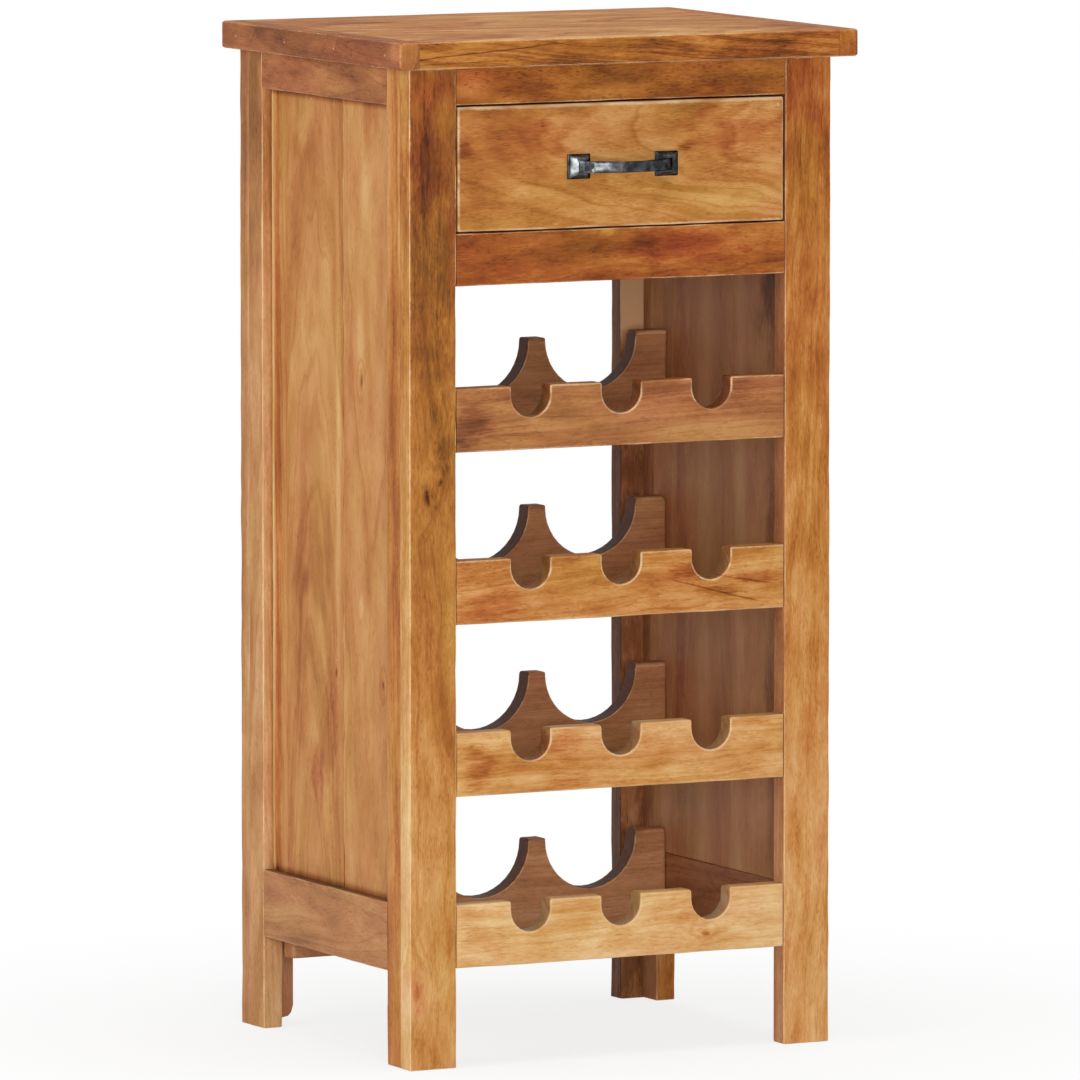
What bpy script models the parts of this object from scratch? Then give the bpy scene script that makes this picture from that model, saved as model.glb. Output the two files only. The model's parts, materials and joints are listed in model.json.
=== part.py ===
# Small solid wood wine cabinet: one inset drawer over four tiers, each for three lying bottles.
# Metres, +Z up, the front looks along -Y, the origin lies on the floor under the middle of the outline.

import math

import bmesh
import bpy
from mathutils import Matrix, Vector

# Carcass
body_width = 0.368
body_depth = 0.304
leg_height = 0.778
board_thickness = 0.017
leg_face_width = 0.0405
back_leg_face_width = 0.0375
leg_side_width = 0.041

# Top: planks between two end battens
top_thickness = 0.022
top_overhang = 0.016
end_batten_width = 0.017
top_plank_names = ("front", "middle", "back")

# Rails and tiers, from the top down
top_rail_height = 0.029
drawer_opening_height = 0.099
drawer_rail_height = 0.041
first_tier_height = 0.079
tier_count = 4
neck_rail_height = 0.050
foot_height = 0.078
side_top_rail_height = 0.030
side_bottom_rail_height = 0.054

# Notches for the bottle necks in the front rails
bottle_count = 3
notch_pitch = 0.079
notch_radius = 0.017
notch_wall = 0.006
notch_lip_radius = 0.0015

# Cradles for the bottle bodies at the rear
cradle_thickness = 0.018
cradle_seat_radius = 0.0425
cradle_seat_wall = 0.0005
cradle_peak_share = 0.2
cradle_lip_share = 0.125
cradle_rise = 0.013
cradle_web = 0.039

# Side panels, each of three planks in a rebate
panel_thickness = 0.0085
panel_lap = 0.006
side_plank_names = ("front", "middle", "back")
side_plank_shares = (0.43, 0.43, 0.14)

# Rear panel behind the drawer
rear_panel_thickness = 0.006

# Joints
seat_gap = 0.0003
tenon_length = 0.010
tenon_thickness = 0.006
tenon_shoulder = 0.008
cut_overrun = 0.002

# Edges
edge_ease = 0.0009
glued_ease = 0.0003
top_edge_radius = 0.0022
drawer_edge_radius = 0.0014

# Drawer
drawer_side_gap = 0.0012
drawer_head_gap = 0.0022
drawer_foot_gap = 0.0008
running_gap = 0.0004
drawer_side_thickness = 0.010
drawer_back_thickness = 0.010
drawer_bottom_thickness = 0.004
drawer_bottom_height = 0.009
drawer_groove_depth = 0.004
drawer_side_drop = 0.002
drawer_stop_gap = 0.001
drawer_back_drop = 0.008

# Wooden slideway in the carcass
runner_thickness = 0.018
runner_reach = 0.040
guide_height = 0.022
guide_gap = 0.001
kicker_gap = 0.0015

# Pull
pull_centres = 0.0765
plate_side = 0.0195
plate_thickness = 0.002
post_base_side = 0.0155
post_end_side = 0.0118
post_reach = 0.012
bow_start = 0.006
bow_rise = 0.016
bar_thickness = 0.005
bar_height = 0.0065
bar_edge_radius = 0.0012
plate_edge_radius = 0.0006

# Fasteners
screw_radius = 0.002
screw_head_radius = 0.004
screw_head_height = 0.0022
screw_clearance = 0.0003
top_screw_length = 0.036
top_screw_recess = 0.008
top_screw_inset = 0.020
guide_screw_length = 0.034
guide_screw_inset = 0.011
guide_screw_sink = 0.001
pull_screw_length = 0.0265

# Curve steps
notch_steps = 12
seat_steps = 20
corner_steps = 3
bow_steps = 16
turning_steps = 10

# Levels, worked out from the sizes above
top_rail_bottom = leg_height - top_rail_height
drawer_rail_top = top_rail_bottom - drawer_opening_height
drawer_rail_bottom = drawer_rail_top - drawer_rail_height
top_rail_levels = (top_rail_bottom, leg_height)
drawer_rail_levels = (drawer_rail_bottom, drawer_rail_top)
first_neck_top = drawer_rail_bottom - first_tier_height
last_neck_top = foot_height + neck_rail_height
tier_pitch = (first_neck_top - last_neck_top) / (tier_count - 1)
neck_tops = [first_neck_top - tier_pitch * tier for tier in range(tier_count)]
side_panel_bottom = neck_tops[-1]
side_panel_top = leg_height - side_top_rail_height
drawer_front_top = top_rail_bottom - drawer_head_gap
drawer_side_top = drawer_front_top - drawer_side_drop
kicker_bottom = drawer_side_top + kicker_gap

# Planes, worked out from the sizes above
pull_reach = bow_start + bow_rise + bar_thickness / 2
front_y = pull_reach - (body_depth + pull_reach) / 2
back_y = front_y + body_depth
side_x = body_width / 2
inner_x = side_x - board_thickness
opening_x = side_x - leg_face_width
back_opening_x = side_x - back_leg_face_width
inner_front_y = front_y + board_thickness
inner_back_y = back_y - board_thickness
side_front_y = front_y + leg_side_width
side_back_y = back_y - leg_side_width
slide_front_y = inner_front_y + seat_gap
slide_back_y = inner_back_y - seat_gap
guide_x = opening_x - drawer_side_gap + guide_gap

sides = (("left", -1), ("right", 1))


def clear_scene():
    for item in list(bpy.data.objects):
        bpy.data.objects.remove(item, do_unlink=True)


def material(name, colour, roughness, metallic=0):
    made = bpy.data.materials.new(name)
    made.use_nodes = True
    shader = made.node_tree.nodes["Principled BSDF"]
    shader.inputs["Base Color"].default_value = (*colour, 1)
    shader.inputs["Roughness"].default_value = roughness
    shader.inputs["Metallic"].default_value = metallic
    made.diffuse_color = (*colour, 1)
    return made


def span(first, second):
    low = Vector(map(min, first, second))
    high = Vector(map(max, first, second))
    return low, high


def grown(box, amount):
    low, high = box
    return low - Vector((amount, amount, amount)), high + Vector((amount, amount, amount))


def box_mesh(shape, box):
    low, high = box
    made = bmesh.ops.create_cube(shape, size=1)
    size = high - low
    bmesh.ops.scale(shape, vec=size, verts=made["verts"])
    bmesh.ops.translate(shape, vec=(low + high) / 2, verts=made["verts"])


def new_object(name, shape, finish=None, origin=(0, 0, 0)):
    bmesh.ops.recalc_face_normals(shape, faces=shape.faces)
    bmesh.ops.translate(shape, vec=-Vector(origin), verts=shape.verts)
    mesh = bpy.data.meshes.new(name)
    shape.to_mesh(mesh)
    shape.free()
    made = bpy.data.objects.new(name, mesh)
    made.location = origin
    bpy.context.scene.collection.objects.link(made)
    if finish:
        mesh.materials.append(finish)
    return made


def as_tool(made):
    made.hide_render = True
    made.display_type = "WIRE"
    return made


def box_tool(name, box):
    shape = bmesh.new()
    box_mesh(shape, box)
    return as_tool(new_object(name, shape))


def combine(target, tool, operation):
    step = target.modifiers.new(tool.name, "BOOLEAN")
    step.operation = operation
    step.solver = "EXACT"
    step.object = tool


def cut(target, tool):
    combine(target, tool, "DIFFERENCE")


def fuse(target, tool):
    combine(target, tool, "UNION")


def faces_along(edge, directions):
    return any(face.normal.dot(Vector(way)) > 0.9 for face in edge.link_faces for way in directions)


# A box with eased edges: edges of a glued face stay nearly sharp, the others take the wider radius.
def board(name, box, finish, glued=(), radius=edge_ease):
    low, high = box
    shape = bmesh.new()
    box_mesh(shape, box)
    shape.normal_update()
    weight = shape.edges.layers.float.new("bevel_weight_edge")
    for edge in shape.edges:
        edge[weight] = glued_ease / radius if faces_along(edge, glued) else 1
    made = new_object(name, shape, finish, (low + high) / 2)
    easing = made.modifiers.new("eased edges", "BEVEL")
    easing.limit_method = "WEIGHT"
    easing.width = radius
    easing.segments = 2
    return made


# The tongue of a rail along X (axis 0) or Y (axis 1): low end with sign -1, high end with sign 1.
def tenon_box(box, axis, sign, inside):
    low, high = box
    across = 1 - axis
    middle = (low[across] + high[across]) / 2
    shoulder = high[axis] if sign > 0 else low[axis]
    first = Vector((0, 0, low.z + tenon_shoulder))
    second = Vector((0, 0, high.z - tenon_shoulder))
    first[axis] = shoulder - sign * inside
    second[axis] = shoulder + sign * tenon_length
    first[across] = middle - tenon_thickness / 2
    second[across] = middle + tenon_thickness / 2
    return span(first, second)


# Puts a tongue on both ends of a rail and cuts its seat in the upright that takes each end.
def tenon_joint(rail, box, axis, uprights):
    for sign, upright in zip((-1, 1), uprights):
        label = rail.name + ("_low" if sign < 0 else "_high")
        fuse(rail, box_tool(label + "_tongue", tenon_box(box, axis, sign, cut_overrun)))
        seat = box_tool(label + "_seat", grown(tenon_box(box, axis, sign, cut_overrun), seat_gap))
        cut(upright, seat)


# One turned solid from a profile of (radius, height) points that starts and ends on the axis.
def turned(shape, profile, place):
    earlier = set(shape.verts)
    verts = [shape.verts.new((radius, 0, height)) for radius, height in profile]
    edges = [shape.edges.new(pair) for pair in zip(verts, verts[1:])]
    bmesh.ops.spin(shape, geom=[*verts, *edges], cent=(0, 0, 0), axis=(0, 0, 1), angle=math.tau,
                   steps=turning_steps, use_merge=True)
    bmesh.ops.remove_doubles(shape, verts=[vert for vert in shape.verts if vert not in earlier],
                             dist=seat_gap / 10)
    bmesh.ops.transform(shape, matrix=place, verts=[vert for vert in shape.verts if vert not in earlier])


def facing(point, way):
    return Matrix.Translation(Vector(point)) @ Vector(way).to_track_quat("Z", "Y").to_matrix().to_4x4()


# A screw: the outer face of its flat head lies at height 0, and its shank runs up from it.
def screw_profile(length):
    return ((0, 0), (screw_head_radius, 0), (screw_head_radius, screw_head_height),
            (screw_radius, screw_head_height), (screw_radius, length), (0, length))


# The hole for such a screw, with room for its head that starts this reach before it.
def screw_seat_profile(length, reach):
    head = screw_head_radius + screw_clearance
    shank = screw_radius + screw_clearance
    shoulder = screw_head_height + screw_clearance
    tip = length + screw_clearance
    return (0, -reach), (head, -reach), (head, shoulder), (shank, shoulder), (shank, tip), (0, tip)


# Like screws, one object each, and one tool that cuts all their holes in the pieces that they pass.
def drive_screws(name, length, reach, places, pieces, finish):
    holes = bmesh.new()
    for number, (point, way) in enumerate(places, start=1):
        shape = bmesh.new()
        turned(shape, screw_profile(length), facing(point, way))
        new_object(f"{name}_{number}", shape, finish, point)
        turned(holes, screw_seat_profile(length, reach), facing(point, way))
    tool = as_tool(new_object(f"{name}_holes", holes))
    for piece in pieces:
        cut(piece, tool)


def arc(centre, radius, start, end, steps):
    sweep = [start + (end - start) * step / steps for step in range(steps + 1)]
    return [(centre[0] + radius * math.cos(angle), centre[1] + radius * math.sin(angle)) for angle in sweep]


# A board cut from a front view outline in X and Z, running back from the plane y by its thickness.
def profile_board(name, outline, y, thickness, finish):
    shape = bmesh.new()
    verts = [shape.verts.new((x, y, z)) for x, z in outline]
    face = shape.faces.new(verts)
    pulled = bmesh.ops.extrude_face_region(shape, geom=[face])
    moved = [item for item in pulled["geom"] if isinstance(item, bmesh.types.BMVert)]
    bmesh.ops.translate(shape, vec=(0, thickness, 0), verts=moved)
    bmesh.ops.recalc_face_normals(shape, faces=shape.faces)
    rims = [edge for edge in shape.edges if faces_along(edge, ((0, 1, 0), (0, -1, 0)))]
    bmesh.ops.bevel(shape, geom=rims, offset=edge_ease, segments=1, profile=0.5, affect="EDGES",
                    material=-1, clamp_overlap=True)
    xs = [x for x, z in outline]
    zs = [z for x, z in outline]
    origin = ((min(xs) + max(xs)) / 2, y + thickness / 2, (min(zs) + max(zs)) / 2)
    return new_object(name, shape, finish, origin)


def make_legs(finish):
    legs = {}
    for side, sign in sides:
        for end, edge_x, outer_y, inner_y, far_y, way in (
                ("front", opening_x, front_y, inner_front_y, side_front_y, 1),
                ("back", back_opening_x, back_y, inner_back_y, side_back_y, -1)):
            face_box = span((sign * side_x, outer_y, 0), (sign * edge_x, inner_y, leg_height))
            legs[end, side, "face"] = board(f"leg_{end}_{side}_face", face_box, finish,
                                            glued=((0, way, 0), (0, 0, 1)))
            side_box = span((sign * side_x, inner_y + way * seat_gap, 0), (sign * inner_x, far_y, leg_height))
            legs[end, side, "side"] = board(f"leg_{end}_{side}_side", side_box, finish,
                                            glued=((0, -way, 0), (0, 0, 1)))
    return legs


def make_side_frames(legs, finish, panel_finish):
    back_inner = side_back_y - seat_gap
    front_inner = side_front_y + seat_gap
    for side, sign in sides:
        uprights = (legs["front", side, "side"], legs["back", side, "side"])
        frame = list(uprights)
        for level, low_z, high_z in (("top", side_panel_top, leg_height),
                                     ("bottom", side_panel_bottom - side_bottom_rail_height, side_panel_bottom)):
            box = span((sign * side_x, front_inner, low_z), (sign * inner_x, back_inner, high_z))
            rail = board(f"side_{level}_rail_{side}", box, finish, glued=((0, 1, 0), (0, -1, 0)))
            tenon_joint(rail, box, 1, uprights)
            frame.append(rail)
        pocket = span((sign * (inner_x + panel_thickness), side_front_y - panel_lap, side_panel_bottom - panel_lap),
                      (sign * (inner_x - cut_overrun), side_back_y + panel_lap, side_panel_top + panel_lap))
        rebate = box_tool(f"panel_rebate_{side}", pocket)
        for piece in frame:
            cut(piece, rebate)
        make_side_panel(side, sign, pocket, panel_finish)


def make_side_panel(side, sign, pocket, finish):
    low, high = pocket
    start = low.y
    for place, share in zip(side_plank_names, side_plank_shares):
        end = start + (high.y - low.y) * share
        box = span((sign * inner_x, start + seat_gap / 2, low.z + seat_gap),
                   (sign * (inner_x + panel_thickness - seat_gap), end - seat_gap / 2, high.z - seat_gap))
        board(f"side_plank_{side}_{place}", box, finish, glued=((0, 1, 0), (0, -1, 0)))
        start = end


def cross_rail(name, levels, edge_x, outer_y, inner_y, uprights, finish):
    reach = edge_x - seat_gap
    low_z, high_z = levels
    box = span((-reach, outer_y, low_z), (reach, inner_y, high_z))
    rail = board(name, box, finish, glued=((1, 0, 0), (-1, 0, 0)))
    tenon_joint(rail, box, 0, uprights)
    return rail


# A board with one round seat for each bottle in its upper edge: a rounded lip, a short wall and a half
# circle. Between two seats stands a peak, and a block is left at each end.
def seat_outline(reach, bottom, top, pitch, radius, wall, lip, steps):
    points = [(-reach, bottom), (reach, bottom), (reach, top)]
    lip_z = top - lip
    for number in reversed(range(bottle_count)):
        middle = pitch * (number - (bottle_count - 1) / 2)
        points += arc((middle + radius + lip, lip_z), lip, math.pi / 2, math.pi, corner_steps)
        points += arc((middle, lip_z - wall), radius, 0, -math.pi, steps)
        points += arc((middle - radius - lip, lip_z), lip, 0, math.pi / 2, corner_steps)
    points.append((-reach, top))
    return points


def make_neck_rails(uprights, finish):
    reach = opening_x - seat_gap
    for number, top in enumerate(neck_tops, start=1):
        bottom = top - neck_rail_height
        outline = seat_outline(reach, bottom, top, notch_pitch, notch_radius, notch_wall,
                               notch_lip_radius, notch_steps)
        rail = profile_board(f"neck_rail_{number}", outline, front_y, board_thickness, finish)
        box = span((-reach, front_y, bottom), (reach, inner_front_y, top))
        tenon_joint(rail, box, 0, uprights)


# What the seats leave of a cradle's length is shared out between its peaks and its end blocks.
def make_cradles(finish):
    reach = inner_x - seat_gap
    peak = (reach - bottle_count * cradle_seat_radius) * 2 * cradle_peak_share
    lip = peak * cradle_lip_share
    depth = lip + cradle_seat_wall + cradle_seat_radius
    for number, neck_top in enumerate(neck_tops, start=1):
        top = neck_top + cradle_rise
        outline = seat_outline(reach, top - depth - cradle_web, top, 2 * cradle_seat_radius + peak,
                               cradle_seat_radius, cradle_seat_wall, lip, seat_steps)
        profile_board(f"bottle_cradle_{number}", outline, side_back_y - cradle_thickness,
                      cradle_thickness - seat_gap, finish)


def make_rear(legs, finish, panel_finish):
    uprights = (legs["back", "left", "face"], legs["back", "right", "face"])
    frame = list(uprights)
    for name, levels in (("rear_top_rail", top_rail_levels), ("rear_drawer_rail", drawer_rail_levels)):
        frame.append(cross_rail(name, levels, back_opening_x, back_y, inner_back_y, uprights, finish))
    reach = back_opening_x + panel_lap
    pocket = span((-reach, inner_back_y - cut_overrun, drawer_rail_top - panel_lap),
                  (reach, inner_back_y + rear_panel_thickness, top_rail_bottom + panel_lap))
    rebate = box_tool("rear_rebate", pocket)
    for piece in frame:
        cut(piece, rebate)
    low, high = grown(pocket, -seat_gap)
    panel = span((low.x, inner_back_y, low.z), high)
    board("rear_panel", panel, panel_finish, radius=glued_ease * 2)


def make_slideway(legs, finish, metal):
    screws = []
    pieces = [legs[end, side, "side"] for end in ("front", "back") for side, sign in sides]
    outer = inner_x - seat_gap
    for side, sign in sides:
        runner = span((sign * outer, slide_front_y, drawer_rail_top - runner_thickness),
                      (sign * (outer - runner_reach), slide_back_y, drawer_rail_top))
        board(f"drawer_runner_{side}", runner, finish, glued=((0, 0, 1),))
        low_z = drawer_rail_top + seat_gap
        guide = span((sign * outer, slide_front_y, low_z), (sign * guide_x, slide_back_y, low_z + guide_height))
        pieces.append(board(f"drawer_guide_{side}", guide, finish, glued=((0, 0, -1),)))
        for y in (side_front_y - guide_screw_inset, side_back_y + guide_screw_inset):
            screws.append(((sign * (guide_x + guide_screw_sink), y, low_z + guide_height / 2), (sign, 0, 0)))
    drive_screws("guide_screw", guide_screw_length, guide_screw_sink + cut_overrun, screws, pieces, metal)


def make_kickers(finish):
    kickers = []
    outer = inner_x - seat_gap
    for side, sign in sides:
        box = span((sign * outer, slide_front_y, kicker_bottom),
                   (sign * (outer - runner_reach), slide_back_y, leg_height - seat_gap))
        kickers.append(board(f"drawer_kicker_{side}", box, finish, glued=((0, 0, 1),)))
    return kickers


def make_top(finish, batten_finish):
    low_z = leg_height + seat_gap
    high_z = leg_height + top_thickness
    joint_x = side_x + top_overhang - end_batten_width
    first_y = front_y - top_overhang
    width = (back_y - first_y) / len(top_plank_names)
    planks = []
    for number, name in enumerate(top_plank_names):
        start = first_y + width * number
        glued = [(1, 0, 0), (-1, 0, 0)]
        near = 0 if number == 0 else seat_gap / 2
        far = 0 if number == len(top_plank_names) - 1 else seat_gap / 2
        if near:
            glued.append((0, -1, 0))
        if far:
            glued.append((0, 1, 0))
        box = span((-joint_x + seat_gap, start + near, low_z), (joint_x - seat_gap, start + width - far, high_z))
        planks.append(board(f"top_plank_{name}", box, finish, glued=glued, radius=top_edge_radius))
    for side, sign in sides:
        box = span((sign * joint_x, first_y, low_z), (sign * (joint_x + end_batten_width), back_y, high_z))
        board(f"top_end_batten_{side}", box, batten_finish, glued=((-sign, 0, 0),), radius=top_edge_radius)
    return planks


def fasten_top(planks, kickers, metal):
    middle_x = inner_x - seat_gap - runner_reach / 2
    screws = [((sign * middle_x, y, kicker_bottom + top_screw_recess), (0, 0, 1))
              for side, sign in sides for y in (slide_front_y + top_screw_inset, slide_back_y - top_screw_inset)]
    drive_screws("top_screw", top_screw_length, top_screw_recess + cut_overrun, screws,
                 [*kickers, planks[0], planks[-1]], metal)


def make_drawer(finish, inner_finish):
    outer = opening_x - drawer_side_gap
    inner = outer - drawer_side_thickness
    low_z = drawer_rail_top + running_gap
    end_y = inner_back_y - drawer_stop_gap
    front_box = span((-outer, front_y, drawer_rail_top + drawer_foot_gap),
                     (outer, inner_front_y, drawer_front_top))
    front = board("drawer_front", front_box, finish, radius=drawer_edge_radius, glued=((0, 1, 0),))
    walls = []
    for side, sign in sides:
        box = span((sign * outer, inner_front_y + seat_gap, low_z), (sign * inner, end_y, drawer_side_top))
        walls.append(board(f"drawer_side_{side}", box, inner_finish, glued=((0, -1, 0),)))
    floor_z = low_z + drawer_bottom_height
    floor_top = floor_z + drawer_bottom_thickness
    back_box = span((-inner + seat_gap, end_y - drawer_back_thickness, floor_top + seat_gap),
                    (inner - seat_gap, end_y, drawer_side_top - drawer_back_drop))
    board("drawer_back", back_box, inner_finish, glued=((1, 0, 0), (-1, 0, 0)))
    tongue = drawer_groove_depth - seat_gap
    floor_box = span((-inner - tongue, inner_front_y - tongue, floor_z), (inner + tongue, end_y, floor_top))
    board("drawer_bottom", floor_box, inner_finish, radius=glued_ease * 2)
    low, high = grown(floor_box, seat_gap)
    groove = box_tool("drawer_groove", (low, high + Vector((0, cut_overrun, 0))))
    for piece in (front, *walls):
        cut(piece, groove)
    return front


def rounded_rectangle(width, height, radius):
    points = []
    for across, up, start in ((1, 1, 0), (-1, 1, 1), (-1, -1, 2), (1, -1, 3)):
        centre = (across * (width / 2 - radius), up * (height / 2 - radius))
        turn = start * math.pi / 2
        points += arc(centre, radius, turn, turn + math.pi / 2, corner_steps)
    return points


# The bow: a rounded bar bent to an arc that runs out from one post and back into the other.
def make_bow(finish, middle_z):
    half = pull_centres / 2
    radius = (half ** 2 + bow_rise ** 2) / (2 * bow_rise)
    sweep = 2 * math.asin(half / radius)
    crest_y = front_y - bow_start - bow_rise
    centre = Vector((0, crest_y + radius, middle_z))
    shape = bmesh.new()
    section = rounded_rectangle(bar_thickness, bar_height, bar_edge_radius)
    face = shape.faces.new([shape.verts.new((0, crest_y + y, middle_z + z)) for y, z in section])
    bmesh.ops.rotate(shape, cent=centre, matrix=Matrix.Rotation(-sweep / 2, 3, "Z"), verts=shape.verts)
    bmesh.ops.spin(shape, geom=[face, *face.edges, *face.verts], cent=centre, axis=(0, 0, 1),
                   angle=sweep, steps=bow_steps, use_duplicate=False)
    return new_object("pull_bow", shape, finish, (0, crest_y, middle_z))


# A post: a square block that narrows towards its outer end.
def post_mesh(x, middle_z, shape):
    base_y = front_y - plate_thickness - seat_gap
    end_y = front_y - post_reach
    rings = []
    for y, side in ((base_y, post_base_side), (end_y, post_end_side)):
        half = side / 2
        corners = ((-half, -half), (half, -half), (half, half), (-half, half))
        rings.append([shape.verts.new((x + across, y, middle_z + up)) for across, up in corners])
    base, end = rings
    shape.faces.new(base)
    shape.faces.new(end)
    for number in range(len(base)):
        after = (number + 1) % len(base)
        shape.faces.new((base[number], base[after], end[after], end[number]))
    bmesh.ops.bevel(shape, geom=list({edge for vert in end for edge in vert.link_edges}),
                    offset=bar_edge_radius, segments=2, profile=0.5, affect="EDGES", material=-1,
                    clamp_overlap=True)


def make_pull(drawer_front, finish, metal):
    middle_z = (drawer_front_top + drawer_rail_top + drawer_foot_gap) / 2
    bow = make_bow(finish, middle_z)
    screws = []
    plates = []
    for side, sign in sides:
        x = sign * pull_centres / 2
        half = plate_side / 2
        box = span((x - half, front_y - seat_gap, middle_z - half),
                   (x + half, front_y - plate_thickness, middle_z + half))
        plates.append(board(f"pull_plate_{side}", box, finish, radius=plate_edge_radius, glued=((0, 1, 0),)))
        shape = bmesh.new()
        post_mesh(x, middle_z, shape)
        fuse(bow, as_tool(new_object(f"pull_post_{side}", shape)))
        screws.append(((x, inner_front_y + screw_head_height + seat_gap, middle_z), (0, -1, 0)))
    drive_screws("pull_screw", pull_screw_length, cut_overrun, screws, (drawer_front, bow, *plates), metal)


# The drawer hangs on an empty that lies on the line along which it slides.
def hang_on_slide(parts):
    slide = bpy.data.objects.new("drawer_slide", None)
    slide.location = (0, front_y, drawer_rail_top)
    bpy.context.scene.collection.objects.link(slide)
    for part in parts:
        part.parent = slide
        part.location = part.location - slide.location


def build():
    clear_scene()
    honey = material("honey wood", (0.50, 0.24, 0.075), 0.45)
    amber = material("amber wood", (0.44, 0.18, 0.055), 0.45)
    russet = material("russet wood", (0.34, 0.12, 0.045), 0.45)
    umber = material("inner wood", (0.30, 0.15, 0.07), 0.6)
    iron = material("black iron", (0.025, 0.027, 0.028), 0.38, 1)
    steel = material("zinc steel", (0.55, 0.55, 0.52), 0.35, 1)

    legs = make_legs(honey)
    make_side_frames(legs, russet, amber)
    front_legs = (legs["front", "left", "face"], legs["front", "right", "face"])
    cross_rail("front_top_rail", top_rail_levels, opening_x, front_y, inner_front_y, front_legs, amber)
    cross_rail("drawer_rail", drawer_rail_levels, opening_x, front_y, inner_front_y, front_legs, russet)
    make_neck_rails(front_legs, honey)
    make_cradles(umber)
    make_rear(legs, amber, umber)
    make_slideway(legs, umber, steel)
    kickers = make_kickers(umber)
    fasten_top(make_top(honey, russet), kickers, steel)

    carcass = set(bpy.data.objects)
    drawer_front = make_drawer(honey, umber)
    make_pull(drawer_front, iron, steel)
    hang_on_slide([item for item in bpy.data.objects if item not in carcass])


build()
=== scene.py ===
import math
import bmesh
import bpy
from mathutils import Euler, Matrix, Vector, noise
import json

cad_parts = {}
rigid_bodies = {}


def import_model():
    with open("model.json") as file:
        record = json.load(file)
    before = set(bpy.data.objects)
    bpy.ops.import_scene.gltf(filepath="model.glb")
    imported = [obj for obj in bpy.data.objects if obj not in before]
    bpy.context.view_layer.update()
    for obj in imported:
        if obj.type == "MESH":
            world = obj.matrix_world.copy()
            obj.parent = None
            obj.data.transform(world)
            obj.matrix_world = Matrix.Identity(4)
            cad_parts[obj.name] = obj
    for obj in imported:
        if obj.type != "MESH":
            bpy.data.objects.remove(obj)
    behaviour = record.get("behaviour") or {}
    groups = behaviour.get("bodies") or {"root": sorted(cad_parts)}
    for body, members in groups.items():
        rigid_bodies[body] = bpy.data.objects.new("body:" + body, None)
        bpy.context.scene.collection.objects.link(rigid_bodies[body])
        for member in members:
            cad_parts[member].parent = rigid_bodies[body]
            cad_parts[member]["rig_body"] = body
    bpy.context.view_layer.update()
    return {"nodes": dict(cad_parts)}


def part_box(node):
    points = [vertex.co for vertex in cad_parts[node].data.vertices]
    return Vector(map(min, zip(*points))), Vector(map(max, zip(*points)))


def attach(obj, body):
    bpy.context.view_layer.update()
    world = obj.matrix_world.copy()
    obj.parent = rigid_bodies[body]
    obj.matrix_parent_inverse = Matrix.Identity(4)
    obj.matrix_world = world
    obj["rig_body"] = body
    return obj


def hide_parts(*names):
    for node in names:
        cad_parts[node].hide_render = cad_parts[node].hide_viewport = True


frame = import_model()
scene = bpy.context.scene
print("cabinet loaded:", len(frame["nodes"]), "pieces")


class Wire:  # an output socket of a material; sums and products of wires add the Math nodes
    def __init__(self, tree, socket=None):
        self.tree, self.socket = tree, socket

    def node(self, kind, settings=None, values=None, output=0):
        made = self.tree.nodes.new(kind)
        for name, value in (settings or {}).items():
            if name == "stops":
                first, last = made.color_ramp.elements
                first.position, first.color = value[0][0], (*value[0][1], 1)
                last.position, last.color = value[-1][0], (*value[-1][1], 1)
                for position, colour in value[1:-1]:
                    made.color_ramp.elements.new(position).color = (*colour, 1)
            else:
                setattr(made, name, value)
        for name, value in (values or {}).items():
            if isinstance(value, Wire):
                self.tree.links.new(value.socket, made.inputs[name])
            else:
                made.inputs[name].default_value = value
        if isinstance(output, tuple):
            return [Wire(self.tree, made.outputs[one]) for one in output]
        return Wire(self.tree, made.outputs[output]) if made.outputs else None

    def math(self, operation, *values):
        return self.node("ShaderNodeMath", {"operation": operation}, dict(enumerate(values)))

    def __add__(self, other):
        return self.math("ADD", self, other)

    def __sub__(self, other):
        return self.math("SUBTRACT", self, other)

    def __rsub__(self, other):
        return self.math("SUBTRACT", other, self)

    def __mul__(self, other):
        return self.math("MULTIPLY", self, other)

    def __truediv__(self, other):
        return self.math("DIVIDE", self, other)

    def __abs__(self):
        return self.math("ABSOLUTE", self)

    def least(self, other):
        return self.math("MINIMUM", self, other)

    def most(self, other):
        return self.math("MAXIMUM", self, other)

    def across(self, other):  # length of the hypotenuse
        return self.math("SQRT", self * self + other * other)

    def rise(self, start, end):  # 0 at start, 1 at end, smooth between
        return self.node("ShaderNodeMapRange", {"interpolation_type": "SMOOTHSTEP"},
                         {"Value": self, "From Min": start, "From Max": end})

    def join(self, second, third):
        return self.node("ShaderNodeCombineXYZ", values={0: self, 1: second, 2: third})

    def noise(self, sizes, shift, detail=1.0, roughness=0.5):  # self is a place in mm, sizes are in mm
        place = self.node("ShaderNodeVectorMath", {"operation": "MULTIPLY_ADD"},
                          {0: self, 1: [1 / size for size in sizes], 2: (shift, shift * 0.7, -shift)})
        return self.node("ShaderNodeTexNoise", values={"Vector": place, "Scale": 1.0, "Detail": detail,
                                                       "Roughness": roughness})

    def blend(self, kind, other, factor):
        return self.node("ShaderNodeMix", {"data_type": "RGBA", "blend_type": kind},
                         {"Factor": factor, 6: self, 7: other}, output=2)


mmPerMetre = 1000


def blankMaterial(name):
    material = bpy.data.materials.new(name)
    material.use_nodes = True
    material.node_tree.nodes.clear()
    return material, Wire(material.node_tree)


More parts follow.
